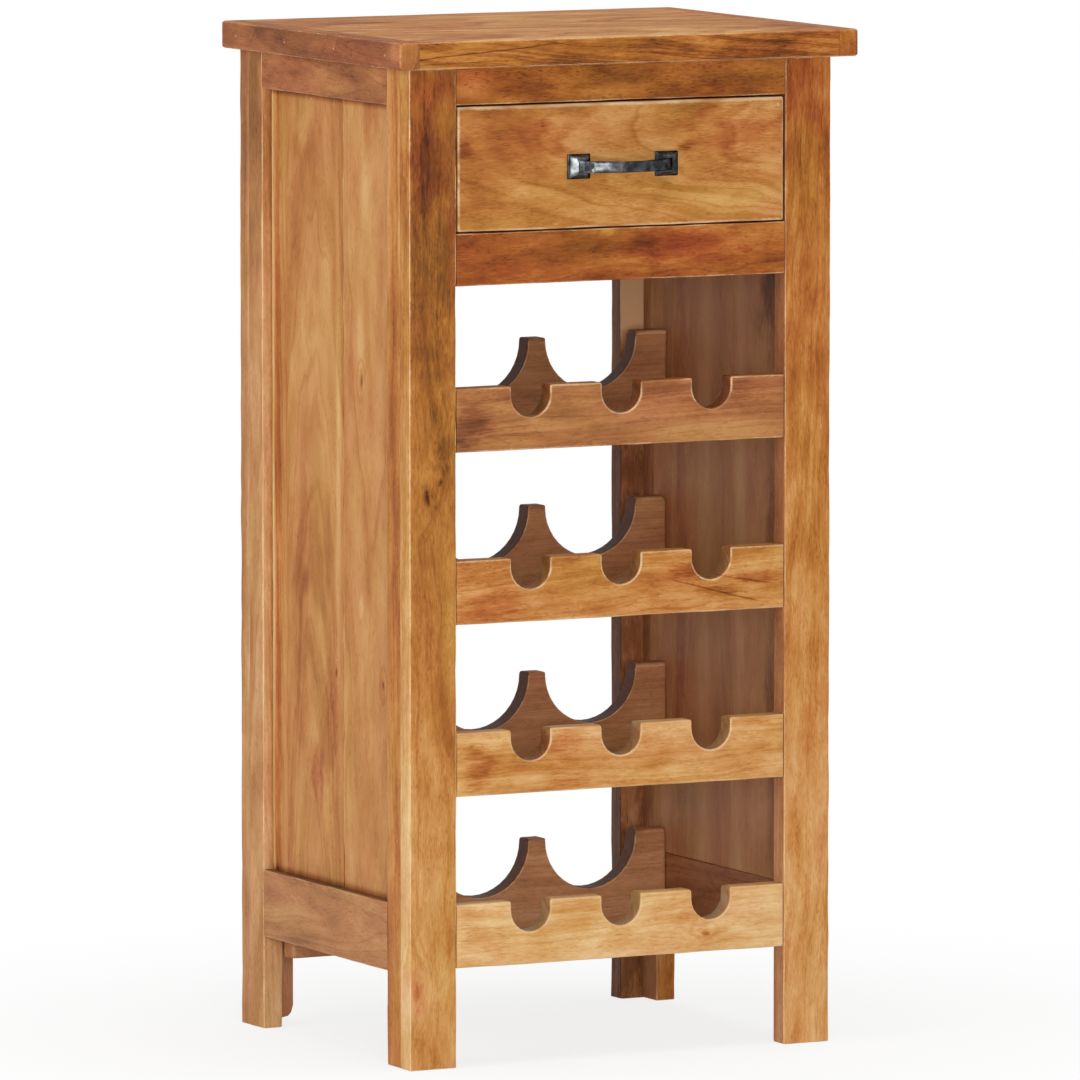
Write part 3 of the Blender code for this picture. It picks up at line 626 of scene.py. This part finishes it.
drawerFront = {
    "drawer_front": {
        "tone": 0.63, "pith": (26, 90), "lean": 0.12, "ring": 11, "sway": 8, "bands": 0.2, "edge": 2.4,
        "wearAndSheen": 0.9, "fades": ((-40, -130, -0.1),), "red": 0.001, "fibre": 0.14, "grit": 0.13,
        "lines": 0.14, "dots": ((137, 741.5, 1.5),), "ease": liftFront, "faces": {"-y": (0.01, 0, 0.12)},
        "stainsAndShading": ((-137, 714, 8, 6, -0.2, 0.0), (-72, 729, 22, 8, 0.0, 0.006),
                   (-29, 726, 16, 7, 0.0, 0.006), (-56, 712, 8, 6, -0.14, 0.006),
                   (54, 711, 9, 8, -0.2, 0.006), (105, 668, 60, 15, 0.08, -0.011),
                   (98, 722, 48, 24, -0.08, 0.012), (40, 700, 20, 24, 0.05, -0.002),
                   (132, 742, 8, 5, 0.1, 0.0))},
}
finishBoards(drawerFront, "x")
rawWood = {"stops": "inner", "wearAndSheen": 0.4, "gloss": 0.62, "lines": 0.08}
drawerSides = {
    "drawer_side_left": {"tone": 0.62, "pith": (20, 40)},
    "drawer_side_right": {"tone": 0.58, "pith": (-10, 50)},
    "drawer_guide_left": {"tone": 0.5},
    "drawer_guide_right": {"tone": 0.5},
    "drawer_runner_left": {"tone": 0.5},
    "drawer_runner_right": {"tone": 0.5},
    "drawer_kicker_left": {"tone": 0.46},
    "drawer_kicker_right": {"tone": 0.46},
}
finishBoards(drawerSides, "y", rawWood)
drawerInside = {
    "drawer_back": {"tone": 0.6, "pith": (-14, 60)},
    "drawer_bottom": {"tone": 0.66, "pith": (30, 140), "ring": 12},
}
finishBoards(drawerInside, "x", rawWood)
print("drawer finished")

# rear: scalloped cradles, rails and the thin panel behind the drawer
cradleSeats = {"side": 98.1, "sideRadius": 40.3, "middleRadius": 42.4, "under": 2.5, "lip": 2.2,
               "plain": (100.68, 42.5), "past": 3, "touch": 0.5}


def easeCradle(place, low, high):  # side seats smaller than the plain ones, outer lips higher
    plainSeat, plainRadius = cradleSeats["plain"]
    beyond = abs(place.x) - (plainSeat - plainRadius)
    if beyond <= 0:
        return
    wide, seat = plainRadius * 2, cradleSeats["sideRadius"] * 2
    start = cradleSeats["side"] - cradleSeats["sideRadius"]
    if beyond < wide:
        fresh = start + beyond * seat / wide
    else:
        reach = high.x - plainSeat - plainRadius
        fresh = start + (seat + (beyond - wide) * (high.x - start - seat) / reach)
    place.x = math.copysign(fresh, place.x)
    drop = high.z - place.z
    if beyond < wide and drop < plainRadius + cradleSeats["past"]:
        place.z = high.z - drop * seat / wide
    elif beyond >= wide - cradleSeats["touch"] and drop < cradleSeats["touch"]:
        place.z += cradleSeats["lip"]


cradles = {
    "bottle_cradle_1": {"tone": 0.52, "pith": (-60, 40)},
    "bottle_cradle_2": {"tone": 0.54, "pith": (-70, 50)},
    "bottle_cradle_3": {"tone": 0.56, "pith": (-55, 36), "red": 0.002},
    "bottle_cradle_4": {"tone": 0.64, "pith": (-66, 44), "red": 0.002},
}
for name in cradles:
    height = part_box(name)[1].z * mmPerMetre - cradleSeats["under"]
    cradles[name]["notches"] = [(-cradleSeats["side"], height, cradleSeats["sideRadius"]),
                                (0, height, cradleSeats["middleRadius"]),
                                (cradleSeats["side"], height, cradleSeats["sideRadius"])]
# the cradle seats get a stronger painted shade on their cut faces
finishBoards(cradles, "x", {"stops": "inner", "ring": 7, "bands": 0.16, "edge": 1.2, "gloss": 0.5,
                            "wearAndSheen": 0.6, "fibre": 0.12, "cut": 0.30, "ease": easeCradle})
rearBoards = {
    "rear_top_rail": {"tone": 0.52, "pith": (8, -60)},
    "rear_drawer_rail": {"tone": 0.5, "pith": (-12, -50)},
    "rear_panel": {
        "stops": "inner", "tone": 0.6, "pith": (20, -120), "ring": 12, "wearAndSheen": 0.2, "gloss": 0.6},
}
finishBoards(rearBoards, "x")
print("rear finished")

# metal: blackened iron pull, zinc plated screws
ironFinish = {"dark": (0.029, 0.031, 0.034), "bare": (0.245, 0.255, 0.262), "rough": 0.26, "hammer": 3.4,
              "rubbed": 0.64, "spread": (0.30, 0.80), "beaten": 0.10, "edgeShine": (0.25, 0.25, 0.25, 1)}
steelFinish = {"dark": (0.30, 0.30, 0.28), "bare": (0.62, 0.61, 0.57), "rough": 0.30, "hammer": 1.2,
               "rubbed": 1.0, "spread": (0.44, 0.74), "beaten": 0.4, "edgeShine": (1, 1, 1, 1)}
metalGrain = {
    "dents": (2.0, 2, 0.5), "scales": (9.0, 3, 0.6), "grits": (17.0, 1, 0.5),  # shift, detail, roughness
    "scaleSize": 2.4, "gritSize": 0.35,  # in hammer marks, in mm
    "gritRubbed": 0.3, "gritRough": 0.12, "scaleRough": 0.2, "rubbedSmooth": 0.05,
    "dentHeight": 0.5, "gritHeight": 0.05,
}


def metalMaterial(name, finish):
    material, start = blankMaterial(name)
    place = start.node("ShaderNodeTexCoord", output=3)
    place = start.node("ShaderNodeVectorMath", {"operation": "MULTIPLY"},
                       {0: place, 1: (mmPerMetre,) * 3})
    size = finish["hammer"]
    dents = place.noise((size,) * 3, *metalGrain["dents"])
    scale = place.noise((size * metalGrain["scaleSize"],) * 3, *metalGrain["scales"])
    grit = place.noise((metalGrain["gritSize"],) * 3, *metalGrain["grits"])
    rubbed = (scale + (grit - 0.5) * metalGrain["gritRubbed"]).rise(*finish["spread"]) * finish["rubbed"]
    colour = start.node("ShaderNodeMix", {"data_type": "RGBA"},
                        {"Factor": rubbed, 6: (*finish["dark"], 1), 7: (*finish["bare"], 1)}, output=2)
    rough = ((grit - 0.5) * metalGrain["gritRough"] + (scale - 0.5) * metalGrain["scaleRough"]
             - rubbed * metalGrain["rubbedSmooth"] + finish["rough"])
    height = (dents - 0.5) * metalGrain["dentHeight"] + (grit - 0.5) * metalGrain["gritHeight"]
    bump = start.node("ShaderNodeBump", values={
        "Strength": finish["beaten"], "Distance": 1 / mmPerMetre, "Height": height})
    shader = start.node("ShaderNodeBsdfPrincipled", values={
        "Base Color": colour, "Metallic": 1.0, "Roughness": rough, "Normal": bump,
        "Specular Tint": finish["edgeShine"]})
    start.node("ShaderNodeOutputMaterial", values={"Surface": shader})
    return material


iron = metalMaterial("blackened_iron", ironFinish)
steel = metalMaterial("zinc_steel", steelFinish)

screw = {  # radius and height of the head's rings, and of the tip's from the far end; lengths in mm
    "head": [(3.0, 0.0), (3.6, 0.25), (3.95, 0.9), (3.95, 2.2), (2.0, 2.2), (2.0, 6.0), (1.5, 6.5)],
    "tip": [(1.5, -4.0), (0.05, -0.1)],
    "slot": 0.5, "reach": 1.9, "deep": 1.3, "narrow": 0.8, "flat": 1e-4,
    "thread": (1.45, 2.0), "ridge": 0.5, "pitch": 1.8, "threadStart": 7, "bare": 12,
    "around": 24, "sharp": 35,
    "ways": {"guide_screw_1": (-1, 0, 0), "guide_screw_2": (-1, 0, 0),
             "guide_screw_3": (1, 0, 0), "guide_screw_4": (1, 0, 0),
             "pull_screw_1": (0, -1, 0), "pull_screw_2": (0, -1, 0),
             "top_screw_1": (0, 0, 1), "top_screw_2": (0, 0, 1),
             "top_screw_3": (0, 0, 1), "top_screw_4": (0, 0, 1)},
}


def level(item, height):
    return all(abs(vertex.co.z - height) < screw["flat"] for vertex in item.verts)


def makeScrew(length):  # the head's face lies at height 0 and the shank runs up
    shape = bmesh.new()
    profile = screw["head"] + [(radius, length + height) for radius, height in screw["tip"]]
    row = [shape.verts.new((radius, 0, height)) for radius, height in profile]
    line = [shape.edges.new(pair) for pair in zip(row, row[1:])]
    bmesh.ops.spin(shape, geom=row + line, cent=(0, 0, 0), axis=(0, 0, 1), angle=math.tau,
                   steps=screw["around"], use_merge=True)
    for height in (0, profile[-1][1]):
        rim = [one for one in shape.edges if one.is_boundary and level(one, height)]
        bmesh.ops.contextual_create(shape, geom=rim)

    # cross recess: cut out of the head's face and pushed in
    for axis in (0, 1):
        normal = Vector((axis == 0, axis == 1, 0))
        for cut in (-screw["reach"], -screw["slot"], screw["slot"], screw["reach"]):
            flat = [one for one in shape.faces if level(one, 0)]
            bounds = dict.fromkeys(item for face in flat for item in [*face.verts, *face.edges])
            bmesh.ops.bisect_plane(shape, geom=[*flat, *bounds], dist=screw["flat"],
                                   plane_co=normal * cut, plane_no=normal)
    cross = []
    for face in shape.faces:
        spot = face.calc_center_median()
        near, far = sorted((abs(spot.x), abs(spot.y)))
        if abs(spot.z) < screw["flat"] and near < screw["slot"] and far < screw["reach"]:
            cross.append(face)
    pushed = bmesh.ops.extrude_face_region(shape, geom=cross)["geom"]
    pushed = [item for item in pushed if isinstance(item, bmesh.types.BMVert)]
    bmesh.ops.delete(shape, geom=[one for one in cross if one.is_valid], context="FACES_ONLY")
    bmesh.ops.scale(shape, vec=(screw["narrow"], screw["narrow"], 1), verts=pushed)
    bmesh.ops.translate(shape, vec=(0, 0, screw["deep"]), verts=pushed)

    # thread: a ridge that winds round the shank
    root, crest = screw["thread"]
    ridge = [shape.verts.new((radius, 0, screw["threadStart"] + height)) for radius, height in
             ((root, -screw["ridge"]), (crest, 0), (root, screw["ridge"]))]
    loop = [shape.edges.new(pair) for pair in zip(ridge, ridge[1:] + ridge[:1])]
    steps = int((length - screw["bare"]) / screw["pitch"] * screw["around"])
    bmesh.ops.spin(shape, geom=ridge + loop, cent=(0, 0, 0), axis=(0, 0, 1), steps=steps,
                   angle=math.tau * steps / screw["around"],
                   dvec=(0, 0, screw["pitch"] / screw["around"]))
    bmesh.ops.holes_fill(shape, edges=[one for one in shape.edges if one.is_boundary], sides=3)
    return shape


for name, way in screw["ways"].items():
    low, high = (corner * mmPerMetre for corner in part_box(name))
    way, centre = Vector(way), (low + high) / 2
    length = abs((high - low).dot(way))
    turn = way.to_track_quat("Z", "Y").to_matrix().to_4x4()
    place = Matrix.Translation(centre - way * length / 2) @ turn
    shape = makeScrew(length)
    bmesh.ops.transform(shape, matrix=Matrix.Scale(1 / mmPerMetre, 4) @ place, verts=shape.verts)
    standIn(name, "threaded_" + name, shape, steel, screw["sharp"])
print("screws turned")

# pull: two square bosses on plates, and a flat bar bowed between them; places and sizes in mm
pull = {
    "middle": 38.25, "height": 698.8,
    "bow": [  # x, y, height, thickness and turn of each section, from the left plate to the bar's middle
        (-38.25, -142.2, 18.4, 18.4, 0), (-38.25, -142.6, 18.3, 18.3, 0), (-36.6, -146.0, 12.6, 8.0, 0),
        (-36.6, -146.3, 9.4, 7.8, 8), (-35.4, -148.0, 9.4, 6.6, 38), (-33.4, -150.4, 9.3, 5.8, 54),
        (-30.4, -152.9, 9.2, 5.0, 66), (-25.5, -155.6, 9.1, 4.4, 67), (-17.5, -158.9, 8.9, 4.1, 68),
        (-9.0, -161.6, 8.7, 3.9, 76), (0.0, -162.3, 8.6, 3.9, 90)],
    "plate": [(0, -140.05, 19.4, 19.4, 0), (0, -141.3, 19.5, 19.5, 0), (0, -142.5, 17.2, 17.2, 0)],
    "edge": 0.5, "round": 2, "barEdge": 1.3, "barRound": 3, "corner": 0.6, "barReach": 35.5,
    "longEdge": 1.6, "cuts": 3, "plateShare": 0.6,
    "dents": {"deep": 0.08, "level": 0.45, "long": 3.4, "short": 1.5}, "merge": 0.01, "sharp": 40,
}


def squareTube(sections, x, z):  # square loops bridged one to the next, closed at the first
    shape = bmesh.new()
    before = None
    for spotX, spotY, tall, thick, turn in sections:
        ring = bmesh.ops.create_circle(shape, segments=4, radius=math.sqrt(0.5))["verts"]
        place = Matrix.Translation((x + spotX, spotY, z)) @ Matrix.Rotation(math.radians(turn), 4, "Z")
        place = place @ Matrix.Rotation(math.radians(90), 4, "X") @ Matrix.Diagonal((thick, tall, 1, 1))
        bmesh.ops.transform(shape, matrix=place @ Matrix.Rotation(math.radians(45), 4, "Z"), verts=ring)
        edges = list(dict.fromkeys(edge for vertex in ring for edge in vertex.link_edges))
        if before:
            bmesh.ops.bridge_loops(shape, edges=before + edges)
        else:
            bmesh.ops.contextual_create(shape, geom=edges)
        before = edges
    return shape, before


def forge(shape, share):  # eased edges, then hammer dents pressed in by a few hundredths
    sharp = [one for one in shape.edges
             if not one.is_boundary and one.calc_face_angle_signed(0) > pull["corner"]]
    bar = [one for one in sharp if all(abs(vertex.co.x) < pull["barReach"] for vertex in one.verts)]
    boss = [one for one in sharp if one not in bar]
    bmesh.ops.bevel(shape, geom=boss, offset=pull["edge"] * share, segments=pull["round"], profile=0.5,
                    affect="EDGES", material=-1)
    bmesh.ops.bevel(shape, geom=[one for one in bar if one.is_valid], offset=pull["barEdge"],
                    segments=pull["barRound"], profile=0.5, affect="EDGES", material=-1)
    long = [one for one in shape.edges if one.calc_length() > pull["longEdge"]]
    bmesh.ops.subdivide_edges(shape, edges=long, cuts=pull["cuts"], use_grid_fill=True)
    shape.normal_update()
    dents = pull["dents"]
    for vertex in shape.verts:
        push = noise.noise(vertex.co / dents["long"]) + 0.5 * noise.noise(vertex.co / dents["short"])
        vertex.co -= vertex.normal * (dents["deep"] * share * max(0.0, dents["level"] + push))


def makeBow():
    shape = squareTube(pull["bow"], 0, pull["height"])[0]
    bmesh.ops.mirror(shape, geom=[*shape.verts, *shape.edges, *shape.faces], axis="X",
                     merge_dist=pull["merge"])
    bmesh.ops.remove_doubles(shape, verts=shape.verts, dist=pull["merge"])
    bmesh.ops.recalc_face_normals(shape, faces=shape.faces)
    forge(shape, 1)
    return shape


def makePlate(x):
    shape, opening = squareTube(pull["plate"], x, pull["height"])
    bmesh.ops.contextual_create(shape, geom=opening)
    bmesh.ops.recalc_face_normals(shape, faces=shape.faces)
    forge(shape, pull["plateShare"])
    return shape


parts = {"pull_bow": makeBow(), "pull_plate_left": makePlate(-pull["middle"]),
         "pull_plate_right": makePlate(pull["middle"])}
for name, shape in parts.items():
    resize(shape, 1 / mmPerMetre)
    standIn(name, "forged_" + name, shape, iron, pull["sharp"])
print("metal finished")

# studio
studio = {
    "ambient": 0.42, "glossShare": 0.6,
    "lamps": {  # place, aims at, side in metres, watts
        "front": ((-1.35, -3.45, 0.82), (0, 0, 0.42), 1.1, 52.0),
        "left": ((-3.2, -0.5, 1.3), (0, 0, 0.42), 1.6, 36.0),
        "above": ((0.2, -0.4, 3.2), (0, 0, 0.5), 1.6, 34.0),
    },
    "floor": {"half": 30, "colour": (0.92, 0.915, 0.90), "grain": 60.0, "detail": 3.0,
              "rough": (0.75, 0.85), "specular": 0.2, "white": (0.15, 0.8),  # metres from the cabinet
              "whiteNear": 0.8},  # share of white beside it
}
cameraPlace = {"location": (-4.372, -8.639, 1.392), "turn": (84.11, 0.0, -26.84), "lens": 411.4,
               "sensor": 36, "far": 60}

world = bpy.data.worlds.new("studio")
scene.world = world
world.use_nodes = True
world.node_tree.nodes.clear()
start = Wire(world.node_tree)
seen, glossy, through = start.node("ShaderNodeLightPath", output=("Is Camera Ray", "Is Glossy Ray",
                                                                  "Is Transmission Ray"))
bright = seen.most(glossy * studio["glossShare"]).most(through)
sky = start.node("ShaderNodeBackground", values={"Color": (1, 1, 1, 1),
                                                 "Strength": bright.most(studio["ambient"])})
start.node("ShaderNodeOutputWorld", values={"Surface": sky})

for name, (place, aim, side, watts) in studio["lamps"].items():
    lamp = bpy.data.objects.new("lamp_" + name, bpy.data.lights.new("lamp_" + name, "AREA"))
    lamp.data.size, lamp.data.energy = side, watts
    lamp.location = place
    lamp.rotation_euler = (Vector(aim) - Vector(place)).to_track_quat("-Z", "Y").to_euler()
    scene.collection.objects.link(lamp)

floorLook = studio["floor"]
floorMesh = bpy.data.meshes.new("floor")
shape = bmesh.new()
bmesh.ops.create_grid(shape, x_segments=1, y_segments=1, size=floorLook["half"])
shape.to_mesh(floorMesh)
shape.free()
floor = bpy.data.objects.new("floor", floorMesh)
scene.collection.objects.link(floor)
material, start = blankMaterial("pale_floor")
place = start.node("ShaderNodeTexCoord", output=3)
east, north = start.node("ShaderNodeSeparateXYZ", values={0: place}, output=(0, 1))
seen = start.node("ShaderNodeLightPath", output="Is Camera Ray")
grain = place.node("ShaderNodeTexNoise", values={
    "Vector": place, "Scale": floorLook["grain"], "Detail": floorLook["detail"]})
white = east.across(north).rise(*floorLook["white"])
white = white * (1 - floorLook["whiteNear"]) + floorLook["whiteNear"]
smooth, rough = floorLook["rough"]
pale = start.node("ShaderNodeBsdfPrincipled", values={
    "Base Color": (*floorLook["colour"], 1), "Roughness": grain * (rough - smooth) + smooth,
    "Specular IOR Level": floorLook["specular"]})
shine = start.node("ShaderNodeEmission", values={"Color": (1, 1, 1, 1), "Strength": 1.0})
mixed = start.node("ShaderNodeMixShader", values={0: seen * white, 1: pale, 2: shine})
start.node("ShaderNodeOutputMaterial", values={"Surface": mixed})
floorMesh.materials.append(material)

camera = bpy.data.objects.new("camera", bpy.data.cameras.new("camera"))
camera.location = cameraPlace["location"]
camera.rotation_euler = Euler([math.radians(turn) for turn in cameraPlace["turn"]])
camera.data.lens, camera.data.sensor_width = cameraPlace["lens"], cameraPlace["sensor"]
camera.data.clip_end = cameraPlace["far"]
scene.collection.objects.link(camera)
scene.camera = camera
scene.view_settings.view_transform = "Standard"
print("studio ready")
